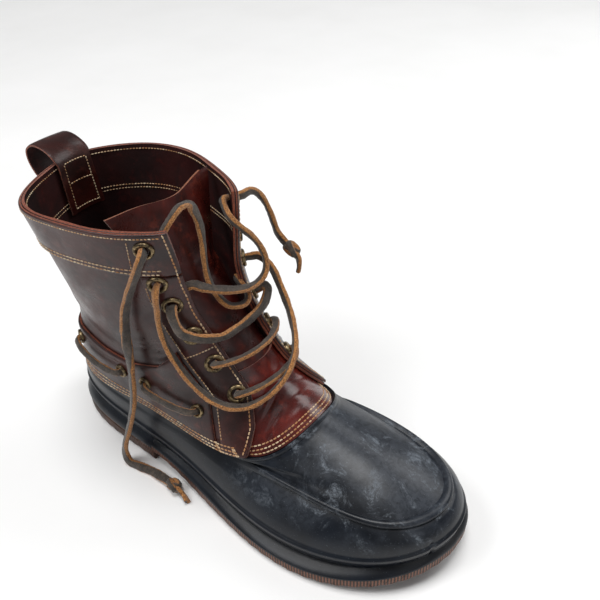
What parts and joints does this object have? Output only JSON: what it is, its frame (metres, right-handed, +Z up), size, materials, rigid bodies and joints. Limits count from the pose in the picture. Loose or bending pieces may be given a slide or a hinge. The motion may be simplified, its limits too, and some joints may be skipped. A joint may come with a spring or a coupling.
{
  "type": "duck boot",
  "caption": "Right-foot duck boot: lace-up leather shaft over a moulded rubber lower with a toe ridge and a heeled gum sole; stands empty and open.",
  "frame": {"origin": "middle of the heel's ground face along the foot, on the ground", "axes": "+X towards the toe, +Y towards the inner side of the foot, +Z up"},
  "size_m": [0.3234, 0.123, 0.2096],
  "materials": {
    "gum_rubber": "matt",
    "navy_rubber": "satin, scuffed",
    "burgundy_leather": "waxed, creased",
    "burgundy_trim": "waxed",
    "antique_brass": "antiqued",
    "insole_fabric": "worn felt",
    "lace_leather": "rawhide"
  },
  "bodies": {
    "root": {"outsole": "gum_rubber", "rubber_shell": "navy_rubber", "insole": "insole_fabric", "leather_shaft": "burgundy_leather", "vamp_plug": "burgundy_leather", "tongue": "burgundy_leather", "collar_band": "burgundy_trim", "back_strip": "burgundy_trim", "pull_loop": "burgundy_trim", "eyestay_lateral": "burgundy_trim", "side_panel_lateral": "burgundy_trim", "eyelet_lateral_1": "antique_brass", "eyelet_lateral_2": "antique_brass", "eyelet_lateral_3": "antique_brass", "eyelet_lateral_4": "antique_brass", "eyelet_lateral_5": "antique_brass", "eyelet_lateral_6": "antique_brass", "side_eyelet_lateral_1": "antique_brass", "side_eyelet_lateral_2": "antique_brass", "side_eyelet_lateral_3": "antique_brass", "side_eyelet_lateral_4": "antique_brass", "eyestay_medial": "burgundy_trim", "side_panel_medial": "burgundy_trim", "eyelet_medial_1": "antique_brass", "eyelet_medial_2": "antique_brass", "eyelet_medial_3": "antique_brass", "eyelet_medial_4": "antique_brass", "eyelet_medial_5": "antique_brass", "eyelet_medial_6": "antique_brass", "side_eyelet_medial_1": "antique_brass", "side_eyelet_medial_2": "antique_brass", "side_eyelet_medial_3": "antique_brass", "side_eyelet_medial_4": "antique_brass", "lace_bar_5": "lace_leather", "lace_bar_6": "lace_leather", "side_lace_lateral_rear": "lace_leather", "side_lace_lateral_front": "lace_leather", "side_lace_medial_rear": "lace_leather", "side_lace_medial_front": "lace_leather", "lace_loop_low": "lace_leather", "lace_loop_middle": "lace_leather", "lace_loop_throat": "lace_leather", "lace_loop_hanging": "lace_leather", "lace_end_lateral": "lace_leather", "lace_knot_lateral": "lace_leather", "lace_tail_lateral": "lace_leather", "lace_end_medial": "lace_leather", "lace_knot_medial": "lace_leather", "lace_tail_medial": "lace_leather"}
  },
  "joints": []
}
